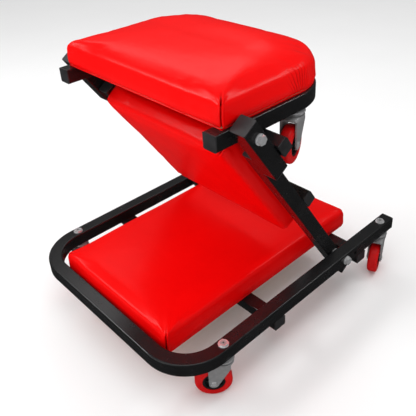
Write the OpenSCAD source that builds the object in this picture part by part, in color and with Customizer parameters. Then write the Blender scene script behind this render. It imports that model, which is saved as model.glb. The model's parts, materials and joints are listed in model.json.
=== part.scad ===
// Folding mechanics creeper, drawn in its seat position.
// Millimetres. Z = 0 is the floor, +X runs from the rounded end of the base to its open
// ends, and the object is symmetric left to right about Y = 0. Left is -Y.
// Three sections: a base on four casters, a middle section hinged low in the base rails,
// and a seat section, with two casters, hinged at the top of the middle section.

/* [Tube] */
// Outside size of the square frame tube
tube = 25; // [20:0.5:32]
// Wall of the frame tube
wall = 1.5; // [1:0.1:3]
// Outside corner radius of the tube
tube_r = 2.5; // [1:0.1:5]
// Height of the flat crossbar tube
cross_h = 20; // [15:0.5:25]
// Centreline radius of the bends in the base frame
bend_r = 71; // [50:1:120]

/* [Base section] */
// Overall width across the base rails
base_w = 445; // [380:1:520]
// Overall length of the base frame with its end caps
base_l = 553; // [450:1:650]
// Height of the base rails' undersides above the floor
rail_z = 79; // [60:1:95]
// Near side of the front crossbar, from the rounded end
cross_front_x = 200; // [150:1:260]
// Where the middle section's pivot is, from the rounded end
pivot_x = 397; // [330:1:440]
// Start of the base pad, from the rounded end
base_pad_x = 29; // [27:1:60]
// End of the base pad, from the rounded end
base_pad_end = 497; // [400:1:498]

/* [Middle section] */
// Angle of the arms above level in the seat position
seat_angle = 56; // [50:1:65]
// Pivot to pivot length of the middle section
arm_l = 415; // [350:1:480]
// Length of the arms past the lower pivot
arm_tail = 73; // [60:1:85]
// Distance from the upper pivot to the arms' upper ends
arm_gap = 53; // [52:0.5:60]
// Length of the arm stubs past the upper pivot
stub_out = 27; // [20:1:35]
// Total length of the arm stubs
stub_l = 113; // [90:1:140]
// Outside size of the stub tube
stub_tube = 28; // [25:0.5:28]
// Start of the lower crossbar, from the lower pivot
mid_cross_x = 171; // [171:1:220]
// How far the upper crossbar stands out past the stubs
upper_cross_out = 5.5; // [0:0.5:12]
// Start of the middle pad, from the lower pivot
mid_pad_x = 104; // [104:1:120]
// End of the middle pad, from the lower pivot
mid_pad_end = 377; // [340:1:377]

/* [Seat section] */
// Length of the seat rails past the upper pivot, towards their open ends
seat_tail = 50; // [40:0.5:51]
// Reach of the seat frame from the upper pivot to its rounded end
seat_l = 213; // [205:1:280]
// Centreline radius of the bends in the seat frame
seat_bend_r = 76; // [50:1:80]
// Thickness of the seat pad
seat_pad_h = 53; // [35:1:60]
// Width of the seat pad
seat_pad_w = 385; // [340:1:387]
// Start of the seat pad, measured back from the upper pivot
seat_pad_back = 37; // [25:0.5:37]
// How far the seat pad stands out past the seat frame's rounded end
seat_pad_over = 10; // [0:1:15]

/* [Pads] */
// Width of the base and middle pads
pad_w = 299; // [240:1:320]
// Thickness of the base and middle pads
pad_h = 44.5; // [30:0.5:45]
// Thickness of the board inside each pad
board_h = 8; // [6:0.5:12]

/* [Casters] */
// Wheel radius
wheel_r = 30.5; // [25:0.5:38]
// Wheel width
wheel_w = 19; // [17:0.5:20]
// Distance from the swivel axis back to the axle
trail = 19; // [15:0.5:21]

/* [Hidden] */
$fn = 64;
gap = 1.5;                    // nylon washer between pivoting tubes
stop_gap = 0.3;               // clearance left at each stop
cap_t = 2;                    // flange of a tube end cap
hinge_up = 0.3;               // pivots sit this much above the base rails' mid-height
inner = tube - 2 * wall;
half_w = base_w / 2;
x0 = -base_l / 2;             // rounded end of the base in the shared frame
rail_top = rail_z + tube;
arm_y = half_w - tube - gap - tube / 2;      // centre of an arm, either side
stub_y = arm_y + tube / 2 + stub_tube / 2;   // centre of a stub
stub_side = stub_y + stub_tube / 2;          // outer face of a stub
stub_z = (stub_tube - tube) / 2;             // stubs and arms stand on the same crossbar
seat_y = half_w - tube - 2 * gap - tube / 2; // centre of a seat rail
seat_w = 2 * seat_y + tube;
p1x = x0 + pivot_x;
p1z = rail_z + tube / 2 + hinge_up;
p2x = p1x - arm_l * cos(seat_angle);
p2z = p1z + arm_l * sin(seat_angle);
fold = 180 - seat_angle;      // the middle section turns this far to lie flat
// The rear crossbar carries the arms' tails in the seat position.
tail_x = (tube / 2) / sin(seat_angle) + (p1z - rail_z + cross_h) / tan(seat_angle);
cross_rear_x = pivot_x + tail_x + stop_gap / sin(seat_angle);
// The upper crossbar carries the seat rails in the seat position.
seat_low = tube / 2 - hinge_up;
upper_back = ((tube / 2 + cross_h) * cos(seat_angle) + seat_low + stop_gap) / sin(seat_angle);
upper_cross_x = arm_l - upper_back - tube;
cross_w = base_w;                             // base crossbars end flush with the rails
lower_cross_w = 2 * arm_y + tube;             // ends flush with the arms
upper_cross_w = 2 * (stub_side + upper_cross_out);
seat_z = hinge_up - tube / 2;                 // seat rails' underside from the upper pivot
seat_top = seat_z + tube;
pad_lift = 0.8;                // the cover is folded in under each board
bolt_r = 4;
pivot_af = 13;                // pivot bolt and nut, across flats
pivot_nut_h = 8;
washer_t = 1.6;
bolt_past = 11.5;             // pivot bolt past the inner tube's face
stem_r = 5;
race_r = 16;
king_r = 4;
axle_r = 4;
fork_in = 11;                 // half the gap between a fork's legs
fork_t = 2.5;
fork_top = -7;                // top of the fork's crown, below the rail
hub_r = 18.5;
screw_r = 2.5;
pad_r = 9;                    // plan corner radius of the pads
board_in = 6;                 // board's edge in from the cushion's

black = [0.06, 0.06, 0.065];
zinc = [0.75, 0.76, 0.78];
red = [0.78, 0.02, 0.03];
ply = [0.72, 0.56, 0.38];
cap_col = [0.12, 0.12, 0.13];

// Stem positions: x, y, height of the rail's underside, heading of the trail, stem length.
front_stem = x0 + 94;
rear_stem = x0 + 525;
seat_stem = p2x + 122;
stem_y = half_w - tube / 2;
seat_rail_z = p2z + seat_z;
casters = [
    [front_stem, -stem_y, rail_z, 141, tube + 3.5],
    [front_stem, stem_y, rail_z, -141, tube + 3.5],
    [rear_stem, -stem_y, rail_z, 202, tube + 3.5],
    [rear_stem, stem_y, rail_z, -202, tube + 3.5],
    [seat_stem, -seat_y, seat_rail_z, 200, wall + 11],
    [seat_stem, seat_y, seat_rail_z, -200, wall + 11]
];

// ---- shared shapes ----

// Rounded rectangle built from squares and circles, centred.
module round_rect(w, h, r) {
    square([w - 2 * r, h], center = true);
    square([w, h - 2 * r], center = true);
    for (sx = [-1, 1], sy = [-1, 1])
        translate([sx * (w / 2 - r), sy * (h / 2 - r)]) circle(r);
}

module tube_profile(w, h) {
    difference() {
        round_rect(w, h, tube_r);
        round_rect(w - 2 * wall, h - 2 * wall, tube_r - wall);
    }
}

// Straight tube along +X from the origin, centred on its axis.
module tube_x(l, w = tube) {
    rotate([90, 0, 90]) linear_extrude(l) tube_profile(w, w);
}

// Straight tube along Y, centred, w long and h high.
module tube_y(w, h) {
    translate([0, w / 2, 0]) rotate([90, 0, 0]) linear_extrude(w) tube_profile(tube, h);
}

// U of square tube lying level: bends of radius r at low x, legs along +X, l long overall.
module u_tube(w, l, r) {
    side = w / 2 - tube / 2;
    start = tube / 2 + r;
    for (s = [-1, 1]) {
        translate([start, s * side, 0]) tube_x(l - start);
        translate([start, s * (side - r), 0])
            rotate([0, 0, s > 0 ? 90 : 180])
                rotate_extrude(angle = 90, $fn = 96)
                    translate([r, 0]) tube_profile(tube, tube);
    }
    translate([tube / 2, 0, 0]) tube_y(2 * (side - r), tube);
}

// End cap: flange plus plug, the flange's outer face pointing along +X from the origin.
module end_cap(h = tube, w = tube) {
    rotate([90, 0, 90]) {
        linear_extrude(cap_t) round_rect(w, h, tube_r);
        translate([0, 0, -9]) linear_extrude(9.01)
            square([w - 2 * wall - 0.4, h - 2 * wall - 0.4], center = true);
    }
}

module hex_prism(af, h) {
    cylinder(h = h, r = af / 2 / cos(30), $fn = 6);
}

// Places children in the middle section, drawn flat with the lower pivot at the origin.
module middle() {
    translate([p1x, 0, p1z]) rotate([0, -fold, 0]) children();
}

// Places children in the seat section, drawn from the upper pivot.
module seat() {
    translate([p2x, 0, p2z]) children();
}

// Hole across a tube, along Y.
module cross_hole(r, w = tube) {
    rotate([90, 0, 0]) cylinder(h = w + 4, r = r, center = true);
}

// Pad plan from x = 0 to l: corner radius ra at the low end, rb at the high end.
module pad_plan(l, w, ra, rb) {
    translate([ra, -w / 2]) square([l - ra - rb, w]);
    translate([0, ra - w / 2]) square([l / 2, w - 2 * ra]);
    translate([l / 2, rb - w / 2]) square([l / 2, w - 2 * rb]);
    for (s = [-1, 1]) {
        translate([ra, s * (w / 2 - ra)]) circle(ra);
        translate([l - rb, s * (w / 2 - rb)]) circle(rb);
    }
}

// Section of a soft upper edge, from the corner's centre out to radius r, e high.
module rim_profile(r, e) {
    square([r - e, e]);
    intersection() {
        translate([r - e, 0]) circle(e);
        translate([r - e, 0]) square([e, e]);
    }
}

// Upper layer of a pad, e thick, with a quarter-round edge all the way round.
module pad_rim(l, w, ra, rb, e) {
    for (s = [-1, 1]) {
        translate([ra, s * (w / 2 - ra), 0]) rotate([0, 0, s > 0 ? 90 : 180])
            rotate_extrude(angle = 90) rim_profile(ra, e);
        translate([l - rb, s * (w / 2 - rb), 0]) rotate([0, 0, s > 0 ? 0 : 270])
            rotate_extrude(angle = 90) rim_profile(rb, e);
    }
    translate([ra, w / 2 - ra, 0]) rotate([90, 0, 90])
        linear_extrude(l - ra - rb) rim_profile(ra, e);
    translate([l - rb, ra - w / 2, 0]) rotate([90, 0, 270])
        linear_extrude(l - ra - rb) rim_profile(ra, e);
    translate([l - rb, w / 2 - rb, 0]) rotate([90, 0, 0])
        linear_extrude(w - 2 * rb) rim_profile(rb, e);
    translate([ra, ra - w / 2, 0]) rotate([90, 0, 180])
        linear_extrude(w - 2 * ra) rim_profile(ra, e);
    translate([ra, ra - w / 2, 0]) cube([l - ra - rb, w - 2 * ra, e]);
}

// Cushion with a soft upper edge and a pocket below for its board.
module cushion(l, w, h, ra, rb) {
    e = 8;
    difference() {
        union() {
            linear_extrude(h - e) pad_plan(l, w, ra, rb);
            translate([0, 0, h - e]) pad_rim(l, w, ra, rb, e);
        }
        translate([board_in - 0.2, 0, -1]) linear_extrude(board_h + 1.2)
            pad_plan(l - 2 * board_in + 0.4, w - 2 * board_in + 0.4,
                ra - board_in + 0.2, rb - board_in + 0.2);
    }
}

// Board of a pad, set in from the cushion's sides.
module board(l, w, ra, rb) {
    translate([board_in, 0, 0]) linear_extrude(board_h)
        pad_plan(l - 2 * board_in, w - 2 * board_in, ra - board_in, rb - board_in);
}

module screw(l) {
    translate([0, 0, -3]) cylinder(h = 3, r = 4.8);
    translate([0, 0, -0.01]) cylinder(h = l, r = screw_r);
}

// Four screw places on a pad: x positions of the two crossbars, half spread in y.
module at_screws(xs, y) {
    for (x = xs, s = [-1, 1]) translate([x, s * y, 0]) children();
}

// ---- base section ----

base_cross_x = [x0 + cross_front_x + tube / 2, x0 + cross_rear_x + tube / 2];
cross_z = rail_z - cross_h / 2;
screw_y = 110;

module base_frame() {
    color(black) difference() {
        translate([x0, 0, rail_z + tube / 2]) u_tube(base_w, base_l - cap_t, bend_r);
        for (s = [-1, 1]) {
            translate([p1x, s * stem_y, p1z]) cross_hole(bolt_r + 0.2);
            translate([p1x + 29, s * stem_y, p1z]) cross_hole(3.5);
            for (x = [front_stem, rear_stem])
                translate([x, s * stem_y, rail_z - 1]) cylinder(h = tube + 2, r = stem_r + 0.2);
        }
    }
}

module base_crossbar(x) {
    color(black) difference() {
        translate([x, 0, cross_z]) tube_y(cross_w - 2 * cap_t, cross_h);
        at_screws([x], screw_y) translate([0, 0, rail_z - cross_h - 1])
            cylinder(h = cross_h + 2, r = screw_r + 0.1);
    }
}

module base_crossbar_front() base_crossbar(base_cross_x[0]);
module base_crossbar_rear() base_crossbar(base_cross_x[1]);

module base_end_caps() {
    color(cap_col) for (s = [-1, 1]) {
        translate([x0 + base_l - cap_t, s * stem_y, rail_z + tube / 2]) end_cap();
        for (x = base_cross_x)
            translate([x, s * (cross_w / 2 - cap_t), cross_z])
                rotate([0, 0, s * 90]) end_cap(cross_h);
    }
}

base_pad_l = base_pad_end - base_pad_x;

module base_pad_board() {
    color(ply) difference() {
        translate([x0 + base_pad_x, 0, rail_z + pad_lift])
            board(base_pad_l, pad_w, pad_r, pad_r);
        at_screws(base_cross_x, screw_y) translate([0, 0, rail_z - 1])
            cylinder(h = board_h - 0.5, r = screw_r + 0.05);
    }
}

module base_pad_cushion() {
    color(red) translate([x0 + base_pad_x, 0, rail_z + pad_lift])
        cushion(base_pad_l, pad_w, pad_h, pad_r, pad_r);
}

module base_pad_screws() {
    color(zinc) at_screws(base_cross_x, screw_y)
        translate([0, 0, rail_z - cross_h]) screw(cross_h + 6);
}

// Pivot bolt along Y: head outside at -Y, head_y and end_y measured from the centre.
module pivot_bolt(head_y, end_y) {
    translate([0, -end_y, 0]) rotate([90, 0, 0]) cylinder(h = head_y - end_y, r = bolt_r);
    translate([0, -head_y, 0]) rotate([90, 0, 0]) hex_prism(pivot_af, 5.3);
}

// Thin washer along Y, its outer face at y.
module washer(y, t, r) {
    translate([0, -y + t, 0]) rotate([90, 0, 0]) difference() {
        cylinder(h = t, r = r);
        translate([0, 0, -1]) cylinder(h = t + 2, r = bolt_r + 0.1);
    }
}

// Outer washer, nylon spacer, inner washer and lock nut of one pivot, on the -Y side.
module pivot_nuts(outer_y, outer_tube) {
    inner_y = outer_y - outer_tube - tube - gap;
    washer(outer_y + washer_t + 0.02, washer_t, pivot_af / 2 + 2);
    washer(outer_y - outer_tube - 0.02, gap - 0.04, 11);
    washer(inner_y - 0.02, washer_t, pivot_af / 2 + 2);
    translate([0, washer_t + 0.05 + pivot_nut_h - inner_y, 0]) rotate([90, 0, 0])
        difference() {
            hex_prism(pivot_af, pivot_nut_h);
            translate([0, 0, -1]) cylinder(h = pivot_nut_h + 2, r = bolt_r + 0.02);
        }
}

module base_pivot_bolts() {
    color(zinc) for (s = [0, 1]) mirror([0, s, 0]) translate([p1x, 0, p1z])
        pivot_bolt(half_w + washer_t + 0.05, half_w - 2 * tube - gap - bolt_past);
}

module base_pivot_nuts() {
    color(zinc) for (s = [0, 1]) mirror([0, s, 0]) translate([p1x, 0, p1z])
        pivot_nuts(half_w, tube);
}

// Washer and thin nut on a caster stem above the rail.
module stem_nut() {
    difference() {
        union() {
            cylinder(h = 1.2, r = 8.8);
            translate([0, 0, 1.1]) hex_prism(13, 2.6);
        }
        translate([0, 0, -1]) cylinder(h = 9, r = stem_r + 0.02);
    }
}

module base_caster_nuts() {
    color(zinc) for (i = [0:3])
        translate([casters[i][0], casters[i][1], rail_top]) stem_nut();
}

// ---- middle section ----

mid_cross_at = [mid_cross_x + tube / 2, upper_cross_x + tube / 2];
mid_cross_z = -tube / 2 - cross_h / 2;

module arm(s) {
    color(black) middle() difference() {
        translate([cap_t - arm_tail, s * arm_y, 0])
            tube_x(arm_l - arm_gap + arm_tail - 2 * cap_t);
        translate([0, s * arm_y, 0]) cross_hole(bolt_r + 0.08);
    }
}

module arm_left() arm(-1);
module arm_right() arm(1);

module stub(s) {
    color(black) middle() difference() {
        translate([arm_l + stub_out - stub_l + cap_t, s * stub_y, stub_z])
            tube_x(stub_l - 2 * cap_t, stub_tube);
        translate([arm_l, s * stub_y, 0]) cross_hole(bolt_r + 0.2, stub_tube);
    }
}

module stub_left() stub(-1);
module stub_right() stub(1);

module mid_crossbar(x, w) {
    color(black) middle() difference() {
        translate([x, 0, mid_cross_z]) tube_y(w - 2 * cap_t, cross_h);
        at_screws([x], screw_y) translate([0, 0, -tube / 2 - cross_h - 1])
            cylinder(h = cross_h + 2, r = screw_r + 0.1);
    }
}

module middle_crossbar_lower() mid_crossbar(mid_cross_at[0], lower_cross_w);
module middle_crossbar_upper() mid_crossbar(mid_cross_at[1], upper_cross_w);

module middle_end_caps() {
    color(cap_col) middle() for (s = [-1, 1]) {
        translate([arm_l - arm_gap - cap_t, s * arm_y, 0]) end_cap();
        translate([cap_t - arm_tail, s * arm_y, 0]) rotate([0, 0, 180]) end_cap();
        translate([arm_l + stub_out - cap_t, s * stub_y, stub_z])
            end_cap(stub_tube, stub_tube);
        translate([arm_l + stub_out - stub_l + cap_t, s * stub_y, stub_z])
            rotate([0, 0, 180]) end_cap(stub_tube, stub_tube);
        translate([mid_cross_at[0], s * (lower_cross_w / 2 - cap_t), mid_cross_z])
            rotate([0, 0, s * 90]) end_cap(cross_h);
        translate([mid_cross_at[1], s * (upper_cross_w / 2 - cap_t), mid_cross_z])
            rotate([0, 0, s * 90]) end_cap(cross_h);
    }
}

mid_pad_l = mid_pad_end - mid_pad_x;

module middle_pad_board() {
    color(ply) middle() difference() {
        translate([mid_pad_x, 0, -tube / 2 + pad_lift])
            board(mid_pad_l, pad_w, pad_r, pad_r);
        at_screws(mid_cross_at, screw_y) translate([0, 0, -tube / 2 - 1])
            cylinder(h = board_h - 0.5, r = screw_r + 0.05);
    }
}

module middle_pad_cushion() {
    color(red) middle() translate([mid_pad_x, 0, -tube / 2 + pad_lift])
        cushion(mid_pad_l, pad_w, pad_h, pad_r, pad_r);
}

module middle_pad_screws() {
    color(zinc) middle() at_screws(mid_cross_at, screw_y)
        translate([0, 0, -tube / 2 - cross_h]) screw(cross_h + 6);
}

// ---- seat section ----

seat_span = seat_w - 2 * tube;                // between the seat rails
seat_cross_at = [24, 111];
seat_screw_y = 130;

module seat_frame() {
    color(black) seat() difference() {
        translate([seat_l, 0, seat_z + tube / 2]) rotate([0, 0, 180])
            u_tube(seat_w, seat_l + seat_tail - cap_t, seat_bend_r);
        for (s = [-1, 1]) {
            translate([0, s * seat_y, 0]) cross_hole(bolt_r + 0.08);
            translate([seat_stem - p2x, s * seat_y, seat_z - 1])
                cylinder(h = wall + 2, r = stem_r + 0.2);
        }
    }
}

module seat_crossbar(x) {
    color(black) seat() difference() {
        translate([x, 0, seat_top - cross_h / 2]) tube_y(seat_span, cross_h);
        at_screws([x], seat_screw_y) translate([0, 0, seat_top - cross_h - 1])
            cylinder(h = cross_h + 2, r = screw_r + 0.1);
    }
}

module seat_crossbar_hinge() seat_crossbar(seat_cross_at[0]);
module seat_crossbar_outer() seat_crossbar(seat_cross_at[1]);

module seat_end_caps() {
    color(cap_col) seat() for (s = [-1, 1])
        translate([cap_t - seat_tail, s * seat_y, seat_z + tube / 2])
            rotate([0, 0, 180]) end_cap();
}

seat_pad_l = seat_l + seat_pad_back + seat_pad_over;
seat_plan_r = 96;                             // plan radius at the rounded end

module seat_pad_board() {
    color(ply) seat() difference() {
        translate([-seat_pad_back, 0, seat_top + pad_lift])
            board(seat_pad_l, seat_pad_w, pad_r, seat_plan_r);
        at_screws(seat_cross_at, seat_screw_y) translate([0, 0, seat_top - 1])
            cylinder(h = board_h - 0.5, r = screw_r + 0.05);
    }
}

module seat_pad_cushion() {
    color(red) seat() translate([-seat_pad_back, 0, seat_top + pad_lift])
        cushion(seat_pad_l, seat_pad_w, seat_pad_h, pad_r, seat_plan_r);
}

module seat_pad_screws() {
    color(zinc) seat() at_screws(seat_cross_at, seat_screw_y)
        translate([0, 0, seat_top - cross_h]) screw(cross_h + 6);
}

module seat_pivot_bolts() {
    color(zinc) for (s = [0, 1]) mirror([0, s, 0]) translate([p2x, 0, p2z])
        pivot_bolt(stub_side + washer_t + 0.05, seat_y - tube / 2 - bolt_past);
}

module seat_pivot_nuts() {
    color(zinc) for (s = [0, 1]) mirror([0, s, 0]) translate([p2x, 0, p2z])
        pivot_nuts(stub_side, stub_tube);
}

// Weld nuts inside the seat rails, over the caster stems.
module seat_caster_nuts() {
    color(zinc) for (i = [4:5])
        translate([casters[i][0], casters[i][1], seat_rail_z + wall + 0.02]) difference() {
            hex_prism(17, 8);
            translate([0, 0, -1]) cylinder(h = 10, r = stem_r + 0.02);
        }
}

// ---- caster pieces, drawn with the rail's underside at z = 0 and the trail along +X ----

module at_caster(i) {
    translate([casters[i][0], casters[i][1], casters[i][2]])
        rotate([0, 0, casters[i][3]]) children();
}

axle_z = wheel_r - rail_z;

// Fixed race cup with the threaded stem above and the kingpin below.
module caster_race(stem_l) {
    color(zinc) {
        translate([0, 0, -2.5]) cylinder(h = 2.5, r = race_r);
        translate([0, 0, fork_top + 0.3]) cylinder(h = 4.3, r1 = race_r - 2.5, r2 = race_r - 1);
        translate([0, 0, fork_top - 5]) cylinder(h = 5.5, r = king_r);
        translate([0, 0, fork_top - 5.6]) cylinder(h = 2.4, r = 6.5);
        difference() {
            translate([0, 0, -0.5]) cylinder(h = stem_l + 0.5, r = stem_r);
            translate([0, 0, stem_l - 3]) cylinder(h = 4, r = 1.8);
        }
    }
}

// Tangent point on a circle at c of radius r, seen from p, on side s.
function tangent(p, c, r, s) =
    let (d = p - c, a = atan2(d[1], d[0]) + s * acos(r / norm(d)))
    c + r * [cos(a), sin(a)];

// Swivel fork: a strip bent into a U with rounded shoulders and tapered legs.
module caster_fork() {
    c = [trail, axle_z];
    shoulder = 10;
    a = [-9, fork_top - shoulder];
    b = [27, fork_top - shoulder];
    k = 8;
    out = fork_in + fork_t;
    color(zinc) difference() {
        union() {
            translate([a[0], 0, 0]) rotate([90, 0, 90]) linear_extrude(b[0] - a[0])
                difference() {
                    fork_section(out, 5, fork_top, shoulder);
                    fork_section(fork_in, 2.5, fork_top - 2.5, shoulder);
                }
            translate([0, 0, fork_top - 2.5]) cylinder(h = 2.5, r = race_r - 0.5);
            for (y = [-fork_in, out]) translate([0, y, 0]) rotate([90, 0, 0])
                linear_extrude(fork_t) {
                    polygon([a, b, tangent(b, c, k, -1), tangent(a, c, k, 1)]);
                    translate(c) circle(k);
                }
        }
        translate([0, 0, fork_top - 4]) cylinder(h = 5, r = king_r + 0.08);
        translate([c[0], 0, c[1]]) rotate([90, 0, 0])
            cylinder(h = 40, r = axle_r + 0.03, center = true);
    }
}

// Shoulder section: half width w, corner radius r, top at z, ending d below the crown.
module fork_section(w, r, z, d) {
    low = fork_top - d;
    translate([-w, low]) square([2 * w, z - r - low]);
    translate([r - w, low]) square([2 * (w - r), z - low]);
    for (s = [-1, 1]) translate([s * (w - r), z - r]) circle(r);
}

// Axle pin with a low riveted head outside each leg.
module caster_axle() {
    out = fork_in + fork_t;
    color(zinc) translate([trail, 0, axle_z]) rotate([90, 0, 0]) {
        cylinder(h = 2 * out + 2, r = axle_r, center = true);
        for (s = [0, 1]) mirror([0, 0, s]) translate([0, 0, out + 0.02])
            cylinder(h = 1.5, r1 = axle_r + 1.8, r2 = axle_r);
    }
}

// Wheel centre: rim, web and boss.
module caster_hub() {
    rim = wheel_w / 2 - 1;
    boss = fork_in - 0.4;
    color(black) translate([trail, 0, axle_z]) rotate([90, 0, 0]) rotate_extrude() {
        translate([15, -rim]) square([hub_r - 15, 2 * rim]);
        translate([7.5, -4]) square([8, 8]);
        translate([axle_r + 0.08, -boss]) square([8 - axle_r - 0.08, 2 * boss]);
    }
}

// Tread moulded on the hub, with rounded shoulders.
module caster_tyre() {
    e = 5;
    hw = wheel_w / 2;
    color(red) translate([trail, 0, axle_z]) rotate([90, 0, 0]) rotate_extrude() {
        translate([hub_r, -hw]) square([wheel_r - hub_r - e, 2 * hw]);
        translate([hub_r, -hw + e]) square([wheel_r - hub_r, 2 * (hw - e)]);
        for (s = [-1, 1]) translate([wheel_r - e, s * (hw - e)]) circle(e);
    }
}

// ---- the six casters, one module per piece ----

module caster_fl_race() at_caster(0) caster_race(casters[0][4]);
module caster_fl_fork() at_caster(0) caster_fork();
module caster_fl_axle() at_caster(0) caster_axle();
module caster_fl_hub() at_caster(0) caster_hub();
module caster_fl_tyre() at_caster(0) caster_tyre();

module caster_fr_race() at_caster(1) caster_race(casters[1][4]);
module caster_fr_fork() at_caster(1) caster_fork();
module caster_fr_axle() at_caster(1) caster_axle();
module caster_fr_hub() at_caster(1) caster_hub();
module caster_fr_tyre() at_caster(1) caster_tyre();

module caster_rl_race() at_caster(2) caster_race(casters[2][4]);
module caster_rl_fork() at_caster(2) caster_fork();
module caster_rl_axle() at_caster(2) caster_axle();
module caster_rl_hub() at_caster(2) caster_hub();
module caster_rl_tyre() at_caster(2) caster_tyre();

module caster_rr_race() at_caster(3) caster_race(casters[3][4]);
module caster_rr_fork() at_caster(3) caster_fork();
module caster_rr_axle() at_caster(3) caster_axle();
module caster_rr_hub() at_caster(3) caster_hub();
module caster_rr_tyre() at_caster(3) caster_tyre();

module caster_sl_race() at_caster(4) caster_race(casters[4][4]);
module caster_sl_fork() at_caster(4) caster_fork();
module caster_sl_axle() at_caster(4) caster_axle();
module caster_sl_hub() at_caster(4) caster_hub();
module caster_sl_tyre() at_caster(4) caster_tyre();

module caster_sr_race() at_caster(5) caster_race(casters[5][4]);
module caster_sr_fork() at_caster(5) caster_fork();
module caster_sr_axle() at_caster(5) caster_axle();
module caster_sr_hub() at_caster(5) caster_hub();
module caster_sr_tyre() at_caster(5) caster_tyre();

// ---- drawing ----

base_frame();
base_crossbar_front();
base_crossbar_rear();
base_end_caps();
base_pad_board();
base_pad_cushion();
base_pad_screws();
base_pivot_bolts();
base_pivot_nuts();
base_caster_nuts();
arm_left();
arm_right();
stub_left();
stub_right();
middle_crossbar_upper();
middle_crossbar_lower();
middle_end_caps();
middle_pad_board();
middle_pad_cushion();
middle_pad_screws();
seat_frame();
seat_crossbar_hinge();
seat_crossbar_outer();
seat_end_caps();
seat_pad_board();
seat_pad_cushion();
seat_pad_screws();
seat_pivot_bolts();
seat_pivot_nuts();
seat_caster_nuts();
caster_fl_race();
caster_fl_fork();
caster_fl_axle();
caster_fl_hub();
caster_fl_tyre();
caster_fr_race();
caster_fr_fork();
caster_fr_axle();
caster_fr_hub();
caster_fr_tyre();
caster_rl_race();
caster_rl_fork();
caster_rl_axle();
caster_rl_hub();
caster_rl_tyre();
caster_rr_race();
caster_rr_fork();
caster_rr_axle();
caster_rr_hub();
caster_rr_tyre();
caster_sl_race();
caster_sl_fork();
caster_sl_axle();
caster_sl_hub();
caster_sl_tyre();
caster_sr_race();
caster_sr_fork();
caster_sr_axle();
caster_sr_hub();
caster_sr_tyre();
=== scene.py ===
"""Looks for the folding mechanics creeper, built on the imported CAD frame."""

import json
import math

import bmesh
import bpy
from mathutils import Matrix, Vector, noise


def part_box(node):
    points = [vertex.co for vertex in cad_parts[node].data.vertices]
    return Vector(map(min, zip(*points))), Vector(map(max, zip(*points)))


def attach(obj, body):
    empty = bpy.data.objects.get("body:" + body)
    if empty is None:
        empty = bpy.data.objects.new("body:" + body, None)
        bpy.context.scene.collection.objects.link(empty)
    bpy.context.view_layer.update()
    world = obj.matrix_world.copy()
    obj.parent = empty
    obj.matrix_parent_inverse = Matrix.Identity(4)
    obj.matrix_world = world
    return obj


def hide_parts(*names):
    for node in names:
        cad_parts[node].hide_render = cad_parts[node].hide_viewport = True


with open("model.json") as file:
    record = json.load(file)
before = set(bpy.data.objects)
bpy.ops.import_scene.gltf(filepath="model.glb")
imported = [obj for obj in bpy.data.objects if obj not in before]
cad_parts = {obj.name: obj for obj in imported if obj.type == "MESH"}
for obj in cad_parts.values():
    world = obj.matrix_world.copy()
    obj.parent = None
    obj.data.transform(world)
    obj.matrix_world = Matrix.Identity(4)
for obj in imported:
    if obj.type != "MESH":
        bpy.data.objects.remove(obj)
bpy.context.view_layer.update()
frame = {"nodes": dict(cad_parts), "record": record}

MM = 0.001


# ---------------------------------------------------------------- node helpers

def material(name):
    m = bpy.data.materials.new(name)
    m.use_nodes = True
    return m, m.node_tree, m.node_tree.nodes["Principled BSDF"]


def coords(tree, scale=(1, 1, 1)):
    """Object coordinates in metres, scaled."""
    tex = tree.nodes.new("ShaderNodeTexCoord")
    mapping = tree.nodes.new("ShaderNodeMapping")
    mapping.inputs["Scale"].default_value = scale
    tree.links.new(tex.outputs["Object"], mapping.inputs["Vector"])
    return mapping.outputs["Vector"]


def noise_tex(tree, vector, scale, detail=3.0, rough=0.5):
    n = tree.nodes.new("ShaderNodeTexNoise")
    n.inputs["Scale"].default_value = scale
    n.inputs["Detail"].default_value = detail
    n.inputs["Roughness"].default_value = rough
    tree.links.new(vector, n.inputs["Vector"])
    return n.outputs["Fac"]


def ramp(tree, fac, stops):
    r = tree.nodes.new("ShaderNodeValToRGB")
    el = r.color_ramp.elements
    while len(el) < len(stops):
        el.new(0.5)
    for e, (pos, col) in zip(el, stops):
        e.position = pos
        e.color = (*col, 1.0)
    tree.links.new(fac, r.inputs["Fac"])
    return r.outputs["Color"]


def remap(tree, fac, lo, hi):
    m = tree.nodes.new("ShaderNodeMapRange")
    m.inputs["To Min"].default_value = lo
    m.inputs["To Max"].default_value = hi
    tree.links.new(fac, m.inputs["Value"])
    return m.outputs["Result"]


def bump(tree, shader, height, strength, distance, normal=None):
    b = tree.nodes.new("ShaderNodeBump")
    b.inputs["Strength"].default_value = strength
    b.inputs["Distance"].default_value = distance
    tree.links.new(height, b.inputs["Height"])
    if normal is not None:
        tree.links.new(normal, b.inputs["Normal"])
    tree.links.new(b.outputs["Normal"], shader.inputs["Normal"])
    return b.outputs["Normal"]


def mottled(tree, shader, vector, scale, low, high, rough):
    """Base colour between low and high, and roughness over a range, from one slow noise."""
    blotch = noise_tex(tree, vector, scale, 4.0, 0.6)
    tree.links.new(ramp(tree, blotch, [(0.3, low), (0.72, high)]), shader.inputs["Base Color"])
    tree.links.new(remap(tree, blotch, *rough), shader.inputs["Roughness"])


# ---------------------------------------------------------------- materials

def powder_coat():
    m, t, s = material("black_powder_coat")
    v = coords(t)
    mottled(t, s, v, 24.0, (0.0055, 0.0055, 0.006), (0.0095, 0.0095, 0.0100), (0.20, 0.32))
    s.inputs["IOR"].default_value = 1.50
    peel = noise_tex(t, v, 700.0, 2.0)
    first = bump(t, s, peel, 0.10, 0.0004)
    bump(t, s, noise_tex(t, v, 60.0, 2.0), 0.06, 0.002, first)
    return m


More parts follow.
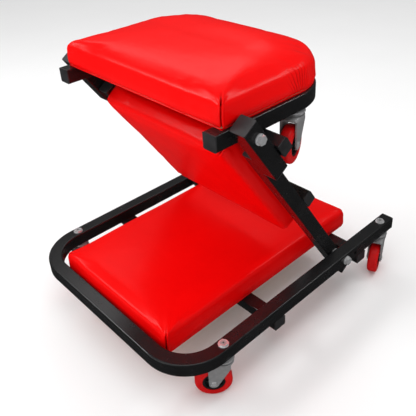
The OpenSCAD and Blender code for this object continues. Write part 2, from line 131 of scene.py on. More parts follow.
def cap_plastic():
    m, t, s = material("end_cap_plastic")
    v = coords(t)
    mottled(t, s, v, 60.0, (0.014, 0.014, 0.015), (0.026, 0.026, 0.028), (0.42, 0.55))
    bump(t, s, noise_tex(t, v, 1400.0, 2.0), 0.25, 0.0003)
    return m


def zinc(name, metallic, rough, low, high):
    """Zinc plating; the part that is not mirror-like stands for its fine grain."""
    m, t, s = material(name)
    v = coords(t)
    s.inputs["Metallic"].default_value = metallic
    mottled(t, s, v, 160.0, low, high, rough)
    bump(t, s, noise_tex(t, v, 1800.0, 2.0), 0.12, 0.0002)
    return m


def plywood():
    """Plain face veneer whose grain runs across the creeper."""
    m, t, s = material("plywood")
    v = coords(t, (1, 0.05, 1))
    grain = noise_tex(t, v, 210.0, 6.0, 0.62)
    t.links.new(ramp(t, grain, [(0.30, (0.30, 0.19, 0.10)), (0.48, (0.46, 0.32, 0.18)),
                                (0.72, (0.54, 0.39, 0.24))]), s.inputs["Base Color"])
    t.links.new(remap(t, noise_tex(t, v, 40.0), 0.62, 0.78), s.inputs["Roughness"])
    bump(t, s, grain, 0.2, 0.0005)
    return m


# Mesh value from 0 to 1 for painted shade: it darkens the vinyl's colour down inside its folds and
# pleats.
FOLD_SHADE = "fold_shade"


def vinyl():
    m, t, s = material("red_vinyl")
    v = coords(t)
    mottled(t, s, v, 9.0, (0.81, 0.0014, 0.0017), (0.87, 0.0018, 0.0020), (0.22, 0.29))
    s.inputs["IOR"].default_value = 1.27
    s.inputs["Specular IOR Level"].default_value = 0.22
    # Painted shade: where the fold shade value is high, the base colour is mixed towards a dark
    # red that stands in for the shadow inside a fold.
    fold = t.nodes.new("ShaderNodeAttribute")
    fold.attribute_name = FOLD_SHADE
    mix = t.nodes.new("ShaderNodeMix")
    mix.data_type = "RGBA"
    factor, plain, fold_painted_shade = (mix.inputs[k] for k in (0, 6, 7))
    t.links.new(fold.outputs["Fac"], factor)
    t.links.new(s.inputs["Base Color"].links[0].from_socket, plain)
    fold_painted_shade.default_value = (0.07, 0.0004, 0.0004, 1.0)
    t.links.new(mix.outputs[2], s.inputs["Base Color"])
    grain = t.nodes.new("ShaderNodeTexVoronoi")
    grain.inputs["Scale"].default_value = 850.0
    t.links.new(v, grain.inputs["Vector"])
    first = bump(t, s, grain.outputs["Distance"], 0.10, 0.0004)
    bump(t, s, noise_tex(t, v, 38.0, 4.0), 0.10, 0.004, first)
    return m


def moulded_black(name, low, high, rough):
    m, t, s = material(name)
    v = coords(t)
    mottled(t, s, v, 80.0, low, high, rough)
    bump(t, s, noise_tex(t, v, 1500.0), 0.08, 0.0002)
    return m


def tread():
    m, t, s = material("red_polyurethane")
    v = coords(t)
    mottled(t, s, v, 70.0, (0.50, 0.002, 0.003), (0.60, 0.003, 0.004), (0.28, 0.40))
    s.inputs["IOR"].default_value = 1.38
    s.inputs["Specular IOR Level"].default_value = 0.25
    bump(t, s, noise_tex(t, v, 1200.0), 0.08, 0.0003)
    return m


def nylon():
    m, t, s = material("nylon_ring")
    v = coords(t)
    mottled(t, s, v, 300.0, (0.08, 0.16, 0.34), (0.10, 0.20, 0.40), (0.40, 0.50))
    bump(t, s, noise_tex(t, v, 1500.0), 0.06, 0.0002)
    return m


MAT = {
    "frame_steel": powder_coat(),
    "end_cap": cap_plastic(),
    "pad_board": plywood(),
    "pad_vinyl": vinyl(),
    "hardware": zinc("bright_zinc", 0.65, (0.15, 0.27), (0.62, 0.62, 0.63), (0.82, 0.82, 0.83)),
    "caster_plate": zinc("zinc_plate", 0.55, (0.30, 0.44), (0.36, 0.36, 0.365),
                         (0.46, 0.46, 0.465)),
    "wheel_hub": moulded_black("hub_plastic", (0.006, 0.007, 0.007), (0.014, 0.015, 0.015),
                               (0.30, 0.42)),
    "wheel_tyre": tread(),
}
NYLON = nylon()


def paint(ob, mat):
    """One material on a CAD node's object or on a new piece."""
    if not ob.material_slots:
        ob.data.materials.append(mat)
    for place in ob.material_slots:
        place.material = mat


# Softened edges on the CAD nodes, by material slot: width in mm.
EDGES = {"end_cap": 0.7, "wheel_hub": 0.6, "hardware": 0.5, "caster_plate": 0.45}
SHARP = math.radians(40)


def soften(ob, width):
    mod = ob.modifiers.new("edges", "BEVEL")
    mod.width = width * MM
    mod.segments = 2
    mod.limit_method = "ANGLE"
    mod.angle_limit = SHARP


for part in frame["record"]["subparts"]:
    slot = part["material_slot"]
    node_ob = frame["nodes"][part["node"]]
    paint(node_ob, MAT[slot])
    if slot in EDGES:
        soften(node_ob, EDGES[slot])


# ---------------------------------------------------------------- mesh helpers

def new_object(name, bm, mat, body):
    """Makes a piece from bm that rides on a body and takes its finish from a slot."""
    mesh = bpy.data.meshes.new(name)
    bmesh.ops.recalc_face_normals(bm, faces=bm.faces)
    bm.to_mesh(mesh)
    bm.free()
    for p in mesh.polygons:
        p.use_smooth = True
    ob = bpy.data.objects.new(name, mesh)
    bpy.context.collection.objects.link(ob)
    paint(ob, mat)
    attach(ob, body)
    return ob


def loft(bm, rings, closed=False):
    """Skin through rings of equal length: a solid with flat ends, or a closed tube."""
    made = [[bm.verts.new(p) for p in ring] for ring in rings]
    n = len(made[0])
    pairs = list(zip(made, made[1:]))
    if closed:
        pairs.append((made[-1], made[0]))
    for a, b in pairs:
        for i in range(n):
            j = (i + 1) % n
            bm.faces.new((a[i], a[j], b[j], b[i]))
    if not closed:
        bm.faces.new(reversed(made[0]))
        bm.faces.new(made[-1])


def lathe(bm, profile, matrix, sides=40):
    """Turns a closed profile of (radius, height) points round the matrix's Z axis."""
    rings = []
    for i in range(sides):
        a = 2 * math.pi * i / sides
        rings.append([matrix @ Vector((r * math.cos(a), r * math.sin(a), z)) for r, z in profile])
    loft(bm, rings, closed=True)


def facing(at, direction):
    """Matrix at a point whose Z axis runs along direction."""
    return Matrix.Translation(at) @ Vector(direction).to_track_quat("Z", "X").to_matrix().to_4x4()


CORNER_STEPS = 10


def plan(length, width, low_r, high_r, inset):
    """Rounded rectangle from x = 0 to length, moved in by inset, as a closed list of points."""
    points = []
    corners = ((1, 1, high_r, 0), (-1, 1, low_r, 90), (-1, -1, low_r, 180), (1, -1, high_r, 270))
    for sx, sy, radius, start in corners:
        r = max(radius - inset, 1 * MM)
        cx = length / 2 + sx * (length / 2 - inset - r)
        cy = sy * (width / 2 - inset - r)
        for i in range(CORNER_STEPS + 1):
            a = math.radians(start + 90 * i / CORNER_STEPS)
            points.append(Vector((cx + r * math.cos(a), cy + r * math.sin(a))))
    return points


def spaced(points, step):
    """The closed outline again, with points about a step apart along its long edges."""
    out = []
    for a, b in zip(points, points[1:] + points[:1]):
        n = max(1, round((b - a).length / step))
        out += [a.lerp(b, k / n) for k in range(n)]
    return out


# ---------------------------------------------------------------- cushions

VOXEL = 4 * MM
CLOTH_FRAMES = 20
# Turned-in foot of a pad: inset and height in mm.
FOOT = ((3.0, 0.4), (1.0, 1.0), (0.0, 3.0))

# Folded corner: how far from the corner it is shaped, the crease, and the lip over it.
FOLD_REACH = 26 * MM
CREASE_DEPTH = 3.8 * MM
CREASE_WIDTH = 1.0 * MM
LIP_HEIGHT = 1.4 * MM
LIP_WIDTH = 2.6 * MM

# Puckers of the top round a folded corner.
PUCKER_REACH = 60 * MM
PUCKER_START = 9 * MM
PUCKER_HEIGHT = 0.9 * MM

# Corners of a larger radius than this get pleats, not a fold.
WIDE_CORNER = 20 * MM
# Pleats: depth, run back along the straight side, spacing at the foot, and its gain to the top.
PLEAT_DEPTH = 3.0 * MM
PLEAT_RUN = 44 * MM
PLEAT_PITCH = 3.4 * MM
PLEAT_FAN = 5.5 * MM

# Extra stuffing: where it begins before the rounded end, and over what length it grows.
STUFF_FROM = 120 * MM
STUFF_RUN = 80 * MM

STAPLE_GAP = 30 * MM
STAPLE_HALF = 5 * MM
STAPLE_WIRE = 0.55 * MM
# A staple's middle line: place along it as a share of its half length, and height in mm.
STAPLE_PATH = ((-1.0, 0.6), (-1.0, -0.75), (-0.9, -0.95), (0.9, -0.95), (1.0, -0.75), (1.0, 0.6))
# Nothing is stapled this close to a crossbar.
BAR_CLEAR = 6 * MM


def foam_block(spec):
    """The cushion before it is blown up: straight sides, tight upper edge, low crown."""
    size = (spec["length"], spec["width"], spec["low_r"], spec["high_r"])
    side, edge, crown = spec["side"], spec["edge"], spec["crown"]
    profile = [(inset * MM, z * MM) for inset, z in FOOT]
    profile += [(0.0, side * k / 6) for k in range(1, 6)]
    for k in range(1, 7):
        a = math.radians(90 * k / 6)
        profile.append((edge * (1 - math.cos(a)), side - edge + edge * math.sin(a)))
    reach = min(size[0], size[1]) / 2
    for k in range(1, 9):
        inset = edge + (reach - edge - 3 * MM) * k / 8
        rise = 1 - math.exp(-(inset - edge) / spec["crown_run"])
        profile.append((inset, side + crown * rise))
    bm = bmesh.new()
    loft(bm, [[(p.x, p.y, z) for p in plan(*size, spec["shrink"] + inset)]
              for inset, z in profile])
    return bm


def bake(ob):
    """Applies the object's modifiers to its mesh."""
    graph = bpy.context.evaluated_depsgraph_get()
    mesh = bpy.data.meshes.new_from_object(ob.evaluated_get(graph), depsgraph=graph)
    ob.modifiers.clear()
    old = ob.data
    ob.data = mesh
    bpy.data.meshes.remove(old)


def remesh(ob, voxel):
    mod = ob.modifiers.new("remesh", "REMESH")
    mod.mode = "VOXEL"
    mod.voxel_size = voxel
    mod.use_smooth_shade = True
    bake(ob)


def inflate(ob, spec):
    """Blows the cover up with cloth pressure; the band round the board stays put."""
    held = ob.vertex_groups.new(name="board")
    held.add([v.index for v in ob.data.vertices if v.co.z < spec["held"]], 1.0, "REPLACE")
    before = [v.co.copy() for v in ob.data.vertices]
    cloth = ob.modifiers.new("cloth", "CLOTH")
    s = cloth.settings
    s.quality = 4
    s.use_pressure = True
    s.uniform_pressure_force = spec["pressure"]
    s.vertex_group_mass = "board"
    s.effector_weights.gravity = 0
    s.tension_stiffness = 20
    s.compression_stiffness = 12
    s.shear_stiffness = 8
    s.bending_stiffness = 0.6
    scene = bpy.context.scene
    for f in range(1, CLOTH_FRAMES + 1):
        scene.frame_set(f)
    bake(ob)
    scene.frame_set(1)
    for v, old in zip(ob.data.vertices, before):
        move = v.co - old
        v.co = old + move / (1 + move.length / spec["swell"])
    ob.vertex_groups.clear()


def relax(ob, rounds):
    bm = bmesh.new()
    bm.from_mesh(ob.data)
    for _ in range(rounds):
        bmesh.ops.smooth_vert(bm, verts=bm.verts, factor=0.5, use_axis_x=True, use_axis_y=True,
                              use_axis_z=True)
    bm.to_mesh(ob.data)
    bm.free()


def subdivide(ob):
    mod = ob.modifiers.new("subdivision", "SUBSURF")
    mod.levels = 1
    mod.render_levels = 1
    bake(ob)


def refine(bm, centre, reach):
    """Splits the edges close to the vertical line through centre, for fine folds."""
    near = [e for e in bm.edges if all((v.co.xy - centre).length < reach for v in e.verts)]
    bmesh.ops.subdivide_edges(bm, edges=near, cuts=1, use_grid_fill=True)


def falloff(x):
    """1 at 0, smoothly to 0 at 1."""
    x = min(abs(x), 1.0)
    return (1 - x * x) ** 2


def corner_fold(bm, corner, outward, height, turn):
    """Folded corner of the cover: a sharp crease down the side with one lip standing over it.

    outward points from the pad's middle to the corner; turn is the side the lip lies on."""
    refine(bm, corner, 16 * MM)
    refine(bm, corner, 9 * MM)
    shade = bm.verts.layers.float[FOLD_SHADE]
    bm.normal_update()
    across = Vector((-outward.y, outward.x)) * turn
    moves = []
    for v in bm.verts:
        away = v.co.xy - corner
        if away.length > FOLD_REACH or v.co.z < 0.5 * MM:
            continue
        s = away.dot(across) + 0.6 * MM * math.sin(v.co.z * 110)
        up = falloff(max(v.co.z - height * 0.86, 0) / (height * 0.22))
        crease = math.exp(-(s / CREASE_WIDTH) ** 2)
        lip = LIP_HEIGHT * falloff((s - LIP_WIDTH) / LIP_WIDTH) if s > 0 else 0
        # Painted shade: the crease's middle is marked for darkening, as the shadow in the fold.
        v[shade] = max(v[shade], up * crease)
        moves.append((v, v.normal * (lip - CREASE_DEPTH * crease) * up))
    for v, d in moves:
        v.co += d


def puckers(bm, corner, inward, height, seed):
    """Small folds of the top that gather into a corner."""
    moves = []
    for v in bm.verts:
        away = v.co.xy - corner
        r = away.length
        if r > PUCKER_REACH or v.co.z < height * 0.6:
            continue
        angle = inward.angle_signed(away, 0.0) if r > 1e-6 else 0.0
        wave = math.sin(angle * 9 + seed) * math.sin(angle * 4.3 + seed * 2)
        fade = falloff(r / PUCKER_REACH) * min(r / PUCKER_START, 1)
        moves.append((v, v.normal * wave * fade * PUCKER_HEIGHT))
    for v, d in moves:
        v.co += d


def gathers(bm, centre, radius, sy, height, seed):
    """Pleats that fan up the side from its foot, closest where a wide corner begins."""
    refine(bm, centre.xy + Vector((-6 * MM, sy * radius)), 36 * MM)
    shade = bm.verts.layers.float[FOLD_SHADE]
    moves = []
    for v in bm.verts:
        away = v.co.xy - centre
        side = away.y * sy
        if side < 0 or away.x < -PLEAT_RUN:
            continue
        if away.x < 0:
            if side < radius - 12 * MM:
                continue
            along, out = away.x, Vector((0, sy, 0))
        else:
            if away.length < radius * 0.86:
                continue
            along = radius * (math.pi / 2 - math.atan2(side, away.x))
            out = Vector((away.x, away.y, 0)).normalized()
        up = min(max(v.co.z / height, 0), 1)
        drift = noise.noise(Vector((along * 60, seed, 0)))
        phase = math.pi * (along + 3 * MM) / (PLEAT_PITCH + PLEAT_FAN * up) + drift * 0.7
        wave = max(1 - 1.25 * abs(math.sin(phase)) ** 0.7, 0)
        mask = falloff((along + 4 * MM) / (34 * MM))
        if along > 0:
            mask = max(mask, 0.25 + 0.7 * noise.noise(Vector((along * 30, seed + 4, 0.5))))
            mask *= min((radius * math.pi / 2 - along) / (20 * MM), 1)
        deep = wave * max(mask, 0) * (1 - up) ** 0.6
        # Painted shade: the pleats' hollows are marked for darkening, deepest where they are
        # deepest.
        v[shade] = max(v[shade], min(deep, 1))
        moves.append((v, -out * deep * PLEAT_DEPTH * min(v.co.z / (3 * MM), 1)))
    for v, d in moves:
        v.co += d


def ripple(bm, seed):
    """Slow unevenness of foam under vinyl, a little stronger along the sides."""
    moves = []
    for v in bm.verts:
        slow = noise.noise(v.co * 16 + Vector((seed, 0, 0)))
        quick = noise.noise(v.co * 48 + Vector((0, seed, 0)))
        side = 1 - abs(v.normal.z)
        moves.append((v, v.normal * (slow * (0.6 + 0.5 * side) + quick * 0.2 * side) * MM))
    for v, d in moves:
        if v.co.z > 3 * MM:
            v.co += d


def stuff_end(bm, spec):
    """Carries the crown out to the rounded end, where the foam is thickest at mid width."""
    for v in bm.verts:
        along = min(max((v.co.x - spec["length"] + STUFF_FROM) / STUFF_RUN, 0), 1)
        along *= along * (3 - 2 * along)
        across = max(1 - (2 * v.co.y / spec["width"]) ** 2, 0)
        up = min(max(v.co.z / spec["side"] - 0.3, 0) / 0.6, 1)
        v.co.z += spec["end_crown"] * along * across * up


def hem(spec, name, body, place):
    """The cover's edge turned in under the board, cut by hand, so its inner edge wanders."""
    edge = [spec["length"], spec["width"], spec["low_r"], spec["high_r"]]
    outer = spaced(plan(*edge, 4.0 * MM), 4 * MM)
    middle = Vector((spec["length"] / 2, 0))
    rings = [[], [], [], []]
    for i, p in enumerate(outer):
        n = (outer[(i + 1) % len(outer)] - outer[i - 1]).normalized()
        inward = Vector((-n.y, n.x))
        if inward.dot(middle - p) < 0:
            inward = -inward
        reach = spec["hem"] + 3.5 * MM * noise.noise(Vector((p.x * 22, p.y * 22, spec["seed"])))
        q = p + inward * reach
        pleat = 0.12 * MM * math.sin(i * 1.9) * math.sin(i * 0.37)
        heights = (-0.45 * MM + pleat, -0.6 * MM, -0.08 * MM, 0.9 * MM)
        for ring, point, z in zip(rings, (p, q, q, p), heights):
            ring.append(place @ Vector((point.x, point.y, z)))
    bm = bmesh.new()
    loft(bm, rings, closed=True)
    new_object(name, bm, MAT["pad_vinyl"], body)


def staples(spec, name, body, place):
    """Wire staples through the hem, left out where a crossbar covers it."""
    size = [spec["length"], spec["width"], spec["low_r"], spec["high_r"]]
    line = spaced(plan(*size, spec["staple_in"]), STAPLE_GAP)
    bm = bmesh.new()
    for i, p in enumerate(line):
        along = (line[(i + 1) % len(line)] - line[i - 1]).normalized()
        if any(lo - BAR_CLEAR < p.x < hi + BAR_CLEAR for lo, hi in spec["covered"]):
            continue
        tilt = Matrix.Rotation(math.radians(90 + 12 * math.sin(i * 2.3)), 2)
        d = (tilt @ along) * STAPLE_HALF
        n = Vector((-d.y, d.x)).normalized() * STAPLE_WIRE
        sections = []
        for t, z in STAPLE_PATH:
            c = p + d * t
            lift = 0.35 * MM if 0.95 > abs(t) else 0.0
            sections.append([place @ Vector((c.x + n.x * a, c.y + n.y * a, z * MM + b * lift))
                             for a, b in ((-1, 0), (1, 0), (1, 1), (-1, 1))])
            if lift == 0.0:
                shift = -d.normalized() * 0.4 * MM * math.copysign(1, t)
                for k in (2, 3):
                    sections[-1][k] = sections[-1][k] + place.to_3x3() @ Vector((*shift, 0))
        loft(bm, sections)
    new_object(name, bm, MAT["hardware"], body)


def flat_box(node, matrix):
    """Lowest and highest corners of a node, measured in a section's own frame."""
    inverse = matrix.inverted()
    points = [inverse @ v.co for v in frame["nodes"][node].data.vertices]
    return (Vector([min(p[i] for p in points) for i in range(3)]),
            Vector([max(p[i] for p in points) for i in range(3)]))


def cushion(part, spec, matrix, crossbars):
    """One section's upholstered pad, made flat in its own frame and laid where its solid is.

    part names the section, which is also the body that the pad rides on."""
    node = part + "_pad_cushion"
    low, high = flat_box(node, matrix)
    place = matrix @ Matrix.Translation((low.x, (low.y + high.y) / 2, low.z))
    height = high.z - low.z
    spec = dict(spec, length=high.x - low.x, width=high.y - low.y)
    spec["side"] = height - spec["crown"] - spec["room"]
    spans = [flat_box(bar, matrix) for bar in crossbars]
    spec["covered"] = [(a.x - low.x, b.x - low.x) for a, b in spans]
    ob = new_object(part + "_cushion", foam_block(spec), MAT["pad_vinyl"], part)
    remesh(ob, VOXEL)
    inflate(ob, spec)
    relax(ob, 2)
    subdivide(ob)
    bm = bmesh.new()
    bm.from_mesh(ob.data)
    bm.verts.layers.float.new(FOLD_SHADE)
    bm.normal_update()
    ripple(bm, spec["seed"])
    stuff_end(bm, spec)
    length, width = spec["length"], spec["width"]
    tight = spec["shrink"] + 1.5 * MM
    for end, sx in ((0, -1), (1, 1)):
        for sy in (-1, 1):
            r = (spec["low_r"], spec["high_r"])[end]
            if r < WIDE_CORNER:
                corner = Vector((end * length - sx * tight, sy * (width / 2 - tight)))
                out = Vector((sx, sy)).normalized()
                bm.normal_update()
                puckers(bm, corner, -out, spec["side"], spec["seed"] + end + sy)
                corner_fold(bm, corner, out, spec["side"], sy * sx)
            else:
                centre = Vector((length - r, sy * (width / 2 - r)))
                gathers(bm, centre, r - spec["shrink"], sy, spec["side"], spec["seed"] + sy)
    bm.to_mesh(ob.data)
    bm.free()
    for p in ob.data.polygons:
        p.use_smooth = True
    ob.data.transform(place)
    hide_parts(node)
    hem(spec, part + "_cover_hem", part, place)
    staples(spec, part + "_cover_staples", part, place)


def joint(name):
    return next(j for j in frame["record"]["behaviour"]["joints"] if j["name"] == name)


lower_pivot = Vector(joint("base_hinge")["pos_m"])
upper_pivot = Vector(joint("seat_hinge")["pos_m"])
arm_line = (upper_pivot - lower_pivot).normalized()
arm_top = arm_line.cross(Vector((0, 1, 0)))
MIDDLE = Matrix.Translation(lower_pivot) @ Matrix(
    (arm_line, (0, 1, 0), arm_top)).transposed().to_4x4()
LEVEL = Matrix.Identity(4)

# A pad's sizes: low_r and high_r are its corner radii at the two ends of x, edge is the radius
# of its upper edge, crown the rise of its top over crown_run, end_crown a further rise at the
# high end, and room the height left for swelling. It starts smaller by shrink, the band up to
# held stays on the board, and swell caps how far the rest moves. hem is the cover's reach under
# the board, and staple_in the staples' distance from its edge.
SQUARE_PAD = dict(low_r=6 * MM, high_r=6 * MM, edge=6 * MM, crown=3.0 * MM, room=1.0 * MM,
                  crown_run=30 * MM, end_crown=0.0, shrink=1.6 * MM, held=9 * MM,
                  pressure=3.0, swell=3 * MM, fill=0.7, hem=23 * MM, staple_in=15 * MM)
SEAT_PAD = dict(SQUARE_PAD, high_r=96 * MM, edge=15 * MM, crown=8 * MM, room=3.0 * MM,
                crown_run=45 * MM, end_crown=5.0 * MM, pressure=4.0, swell=6 * MM,
                hem=42 * MM, staple_in=39 * MM)
cushion("seat", dict(SEAT_PAD, seed=1.0), LEVEL, ("seat_crossbar_hinge", "seat_crossbar_outer"))
cushion("base", dict(SQUARE_PAD, seed=2.0), LEVEL, ("base_crossbar_front", "base_crossbar_rear"))
cushion("middle", dict(SQUARE_PAD, seed=3.0), MIDDLE,
        ("middle_crossbar_lower", "middle_crossbar_upper"))


# ---------------------------------------------------------------- welds

BEAD = 2.1 * MM
BEAD_STEP = 0.7 * MM
RIPPLE_PITCH = 1.9 * MM
BEAD_SIDES = 10


def weld(bm, matrix, a, b):
    """Bead of overlapping ripples along the corner from a to b, sunk half into both tubes."""
    a, b = Vector(a), Vector(b)
    length = (b - a).length
    turn = (b - a).to_track_quat("Z", "X").to_matrix()
    steps = max(6, round(length / BEAD_STEP))
    angles = [2 * math.pi * k / BEAD_SIDES for k in range(BEAD_SIDES)]
    rings = []
    for i in range(steps + 1):
        t = i / steps
        ends = min(1, 5 * min(t, 1 - t) + 0.25)
        r = BEAD * ends * (0.84 + 0.16 * abs(math.sin(t * length / RIPPLE_PITCH * math.pi)))
        centre = a.lerp(b, t)
        rings.append([matrix @ (centre + turn @ Vector((r * math.cos(w), r * math.sin(w), 0)))
                      for w in angles])
    loft(bm, rings)


def crossing(bm, matrix, bar, rail_low, rail_high, rail_z, rail_end=1.0, far_low=None):
    """Beads where a crossbar passes under a rail that spans rail_low to rail_high in y.

    The rail may stop at x = rail_end; past it only the part from far_low outwards is welded."""
    lo, hi = flat_box(bar, matrix)
    for s in (-1, 1):
        weld(bm, matrix, (lo.x + 3 * MM, s * rail_low, rail_z),
             (min(hi.x, rail_end) - 3 * MM, s * rail_low, rail_z))
        for x, start in ((lo.x, rail_low), (hi.x, far_low or rail_low)):
            weld(bm, matrix, (x, s * (start + 3 * MM), rail_z - 0.4 * MM),
                 (x, s * (rail_high - 4 * MM), rail_z - 0.4 * MM))


tube_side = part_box("base_end_caps")[1][2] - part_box("base_crossbar_front")[1][2]
base_low, base_high = flat_box("base_frame", LEVEL)
bm = bmesh.new()
for bar in ("base_crossbar_front", "base_crossbar_rear"):
    crossing(bm, LEVEL, bar, base_high.y - tube_side, base_high.y, base_low.z)
new_object("base_welds", bm, MAT["frame_steel"], "base")

arm_low, arm_high = flat_box("arm_right", MIDDLE)
stub_low, stub_high = flat_box("stub_right", MIDDLE)
bm = bmesh.new()
crossing(bm, MIDDLE, "middle_crossbar_lower", arm_low.y, arm_high.y, arm_low.z)
crossing(bm, MIDDLE, "middle_crossbar_upper", arm_low.y, stub_high.y, arm_low.z, arm_high.x,
         stub_low.y)
for s in (-1, 1):
    for z in (arm_low.z + 1.2 * MM, arm_high.z - 1.2 * MM):
        weld(bm, MIDDLE, (stub_low.x + 2 * MM, s * stub_low.y, z),
             (arm_high.x - 2 * MM, s * stub_low.y, z))
    weld(bm, MIDDLE, (stub_low.x, s * stub_low.y, arm_low.z + 3 * MM),
         (stub_low.x, s * stub_low.y, arm_high.z - 3 * MM))
new_object("middle_welds", bm, MAT["frame_steel"], "middle")

bm = bmesh.new()
for bar in ("seat_crossbar_hinge", "seat_crossbar_outer"):
    lo, hi = flat_box(bar, LEVEL)
    for y in (lo.y, hi.y):
        weld(bm, LEVEL, (lo.x + 3 * MM, y, lo.z), (hi.x - 3 * MM, y, lo.z))
        for x in (lo.x, hi.x):
            weld(bm, LEVEL, (x, y, lo.z + 2 * MM), (x, y, hi.z - 3.5 * MM))
new_object("seat_welds", bm, MAT["frame_steel"], "seat")


# ---------------------------------------------------------------- fasteners

BOLT_R = 4 * MM
THREAD_PITCH = 1.25 * MM
LOCK_RING_R = 5.6 * MM
LOCK_RING_H = 1.1 * MM
# One turn's outline: distance from the bolt's surface in mm, and height in pitches.
THREAD_SHAPE = ((-0.3, -0.34), (0.22, -0.06), (0.22, 0.06), (-0.3, 0.34))


def collar(r, h, hole):
    """Profile of a low ring from z = 0 to h with a rounded outer edge."""
    edge = 0.6 * MM
    points = [(hole, 0), (r, 0), (r, h - edge)]
    for k in range(1, 5):
        a = math.radians(90 * k / 4)
        points.append((r - edge + edge * math.cos(a), h - edge + edge * math.sin(a)))
    return points + [(hole, h)]


def thread(bm, matrix, r, length, pitch):
    """Screw thread standing on the end of a bolt, run out at its tip."""
    turns = length / pitch
    n = max(12, round(turns * 28))
    rings = []
    for i in range(n + 1):
        a = 2 * math.pi * turns * i / n
        z = length * i / n
        end = min(1, 6 * min(i, n - i) / n + 0.1)
        ring = []
        for dr, dz in THREAD_SHAPE:
            rad = r + dr * MM * (end if dr > 0 else 1)
            ring.append(matrix @ Vector((rad * math.cos(a), rad * math.sin(a), z + dz * pitch)))
        rings.append(ring)
    loft(bm, rings)


def nut_details(part, pivot):
    """Nylon ring and bolt thread on the inner end of both pivots, riding on the bolts' section."""
    rings = bmesh.new()
    threads = bmesh.new()
    nut_y, bolt_y = (min(v.co.y for v in frame["nodes"][part + name].data.vertices if v.co.y > 0)
                     for name in ("_pivot_nuts", "_pivot_bolts"))
    for s in (-1, 1):
        at = facing((pivot.x, s * nut_y, pivot.z), (0, -s, 0))
        lathe(rings, collar(LOCK_RING_R, LOCK_RING_H, BOLT_R + 0.02 * MM), at)
        thread(threads, at, BOLT_R - 0.05 * MM, nut_y - bolt_y - 0.2 * MM, THREAD_PITCH)
    new_object(part + "_lock_rings", rings, NYLON, part)
    new_object(part + "_bolt_threads", threads, MAT["hardware"], part)


nut_details("base", lower_pivot)
nut_details("seat", upper_pivot)


# ---------------------------------------------------------------- casters

CORNERS = ("front_left", "front_right", "rear_left", "rear_right", "seat_left", "seat_right")
RIBS = 6
BOSS_R = 7.6 * MM
HUB_R = 15.2 * MM
# Ribs of a hub: radius in metres and height in mm from the wheel's middle, and the web's face.
RIB_SHAPE = ((BOSS_R, 8.2), (BOSS_R + 1.5 * MM, 7.0), (HUB_R - 1.5 * MM, 6.4), (HUB_R, 7.4))
WEB_FACE = 3.6
# Raised moulding band on each side of a tyre: radius and distance from its middle, in mm.
TYRE_BAND = ((21.2, 9.2), (21.8, 9.8), (22.8, 9.8), (23.4, 9.2))
RACE_LIP_R = 1.1 * MM
ROUND_SIDES = 56


def hub_ribs(bm, at):
    """Ribs from the boss to the rim on both faces of a wheel's web."""
    for face in (-1, 1):
        for k in range(RIBS):
            spin = Matrix.Rotation(2 * math.pi * (k + 0.25 * (face + 1)) / RIBS, 4, "Z")
            rings = []
            for r, h in RIB_SHAPE:
                corners = ((-0.9, WEB_FACE), (0.9, WEB_FACE), (0.7, h), (-0.7, h))
                rings.append([at @ spin @ Vector((r, w * MM, face * z * MM)) for w, z in corners])
            loft(bm, rings)


for corner in CORNERS:
    short = "caster_" + "".join(word[0] for word in corner.split("_"))
    roll, swivel = joint("roll_" + corner), joint("swivel_" + corner)
    axle, stem = Vector(roll["pos_m"]), Vector(swivel["pos_m"])
    wheel = "wheel_" + corner
    carrier = "seat" if corner.startswith("seat") else "base"
    wheel_at = facing(axle, roll["axis"])

    bm = bmesh.new()
    hub_ribs(bm, wheel_at)
    new_object(short + "_hub_ribs", bm, MAT["wheel_hub"], wheel)

    bm = bmesh.new()
    for face in (-1, 1):
        profile = [(r * MM, face * z * MM) for r, z in TYRE_BAND]
        lathe(bm, profile, wheel_at, ROUND_SIDES)
    new_object(short + "_tyre_bands", bm, MAT["wheel_tyre"], wheel)

    # Rolled lip round the fixed race.
    bm = bmesh.new()
    race_low, race_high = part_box(short + "_race")
    race_r = (race_high[0] - race_low[0]) / 2
    plate = stem.z
    lip = []
    for k in range(9):
        a = math.radians(-100 + 200 * k / 8)
        lip.append((race_r - 0.8 * MM + RACE_LIP_R * math.cos(a),
                    plate - 1.5 * MM + RACE_LIP_R * math.sin(a)))
    lip += [(race_r - 1.6 * MM, plate - 0.5 * MM), (race_r - 1.6 * MM, plate - 2.5 * MM)]
    lathe(bm, lip, Matrix.Translation((stem.x, stem.y, 0)), ROUND_SIDES)
    new_object(short + "_race_lip", bm, MAT["hardware"], carrier)


# ---------------------------------------------------------------- stage, light, camera

def stage_mesh(name, verts, faces):
    me = bpy.data.meshes.new(name)
    me.from_pydata(verts, [], faces)
    ob = bpy.data.objects.new(name, me)
    bpy.context.collection.objects.link(ob)
    return ob


def pale_floor():
    m, t, s = material("pale_floor")
    s.inputs["Specular IOR Level"].default_value = 0.0
    mottled(t, s, coords(t), 3.0, (0.93, 0.93, 0.93), (0.945, 0.945, 0.945), (0.8, 0.9))
    return m


FLOOR_HALF = 9
floor = stage_mesh("floor", [(x * FLOOR_HALF, y * FLOOR_HALF, 0)
                             for x, y in ((-1, -1), (1, -1), (1, 1), (-1, 1))], [(0, 1, 2, 3)])
paint(floor, pale_floor())
floor.visible_glossy = False

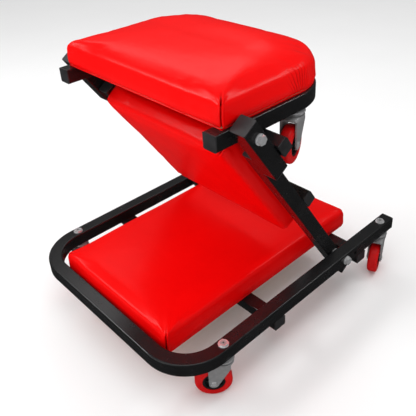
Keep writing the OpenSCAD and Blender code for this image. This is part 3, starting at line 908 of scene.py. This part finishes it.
# Soft boxes: place, aim, width, height and power in watts.
LIGHTS = {
    "key_left": ((-2.2, -0.5, 1.3), (0, 0, 0.3), 1.2, 1.4, 4.5),
    "fill_front": ((-0.4, -2.4, 1.1), (0, 0, 0.2), 1.6, 1.2, 1.6),
    "overhead": ((-0.3, -0.3, 2.6), (0, 0, 0.2), 1.8, 1.8, 15.0),
    "back_sheen": ((0.50, 0.92, 1.24), (-0.1, 0, 0.45), 1.0, 0.30, 1.9),
    "low_left": ((-1.8, 0.3, 0.35), (0, 0, 0.25), 1.2, 0.5, 4.0),
    "edge_left": ((-1.15, 1.35, 1.75), (-0.1, -0.1, 0.4), 0.9, 0.45, 17.0),
    "edge_near": ((1.25, -0.55, 1.80), (0, -0.1, 0.3), 0.4, 0.3, 5.0),
}
for light_name, (at, aim, wide, high, power) in LIGHTS.items():
    light = bpy.data.lights.new(light_name, "AREA")
    light.shape = "RECTANGLE"
    light.size = wide
    light.size_y = high
    light.energy = power
    light_ob = bpy.data.objects.new(light_name, light)
    bpy.context.collection.objects.link(light_ob)
    light_ob.location = at
    light_ob.rotation_euler = (Vector(aim) - Vector(at)).to_track_quat("-Z", "Y").to_euler()

# A plain white room: even ambient light, and darker, graded surroundings for reflections.
AMBIENT = 0.66
GLOSS_LOW = 0.045
GLOSS_SKY = 0.19
BACKDROP = 1.0
world = bpy.data.worlds.new("studio")
world.use_nodes = True
tree = world.node_tree
sky = tree.nodes["Background"]
sky.inputs["Color"].default_value = (1, 1, 1, 1)
path = tree.nodes.new("ShaderNodeLightPath")
tex = tree.nodes.new("ShaderNodeTexCoord")
axes = tree.nodes.new("ShaderNodeSeparateXYZ")
tree.links.new(tex.outputs["Generated"], axes.inputs["Vector"])
grade = tree.nodes.new("ShaderNodeMapRange")
for socket, value in (("From Min", -0.1), ("From Max", 0.9), ("To Min", GLOSS_LOW),
                      ("To Max", GLOSS_SKY)):
    grade.inputs[socket].default_value = value
tree.links.new(axes.outputs["Z"], grade.inputs["Value"])


def either(fac, no, yes):
    """no where fac is 0, yes where it is 1; both are a socket or a number."""
    mix = tree.nodes.new("ShaderNodeMix")
    tree.links.new(fac, mix.inputs[0])
    for place, value in ((2, no), (3, yes)):
        if isinstance(value, float):
            mix.inputs[place].default_value = value
        else:
            tree.links.new(value, mix.inputs[place])
    return mix.outputs[0]


glossy = either(path.outputs["Is Glossy Ray"], AMBIENT, grade.outputs["Result"])
tree.links.new(either(path.outputs["Is Camera Ray"], glossy, BACKDROP), sky.inputs["Strength"])
bpy.context.scene.world = world
bpy.context.scene.view_settings.view_transform = "Standard"

# The camera's place in metres, and its heading, dip and roll in degrees.
CAMERA_AT = (-0.5842, -0.6651, 0.7782)
HEADING, DIP, ROLL = 42.15, 30.38, -3.07
az, el, ro = (math.radians(a) for a in (HEADING, DIP, ROLL))
forward = Vector((math.sin(az) * math.cos(el), math.cos(az) * math.cos(el), -math.sin(el)))
side = Vector((math.cos(az), -math.sin(az), 0))
up = side.cross(forward)
right = math.cos(ro) * side + math.sin(ro) * up
top = -math.sin(ro) * side + math.cos(ro) * up
cam = bpy.data.cameras.new("camera")
cam.lens = 48.73
cam.sensor_width = 36.0
cam.shift_x = -0.026
cam.shift_y = -0.103
cam_ob = bpy.data.objects.new("camera", cam)
bpy.context.collection.objects.link(cam_ob)
cam_ob.matrix_world = Matrix.Translation(CAMERA_AT) @ Matrix(
    (right, top, -forward)).transposed().to_4x4()
bpy.context.scene.camera = cam_ob
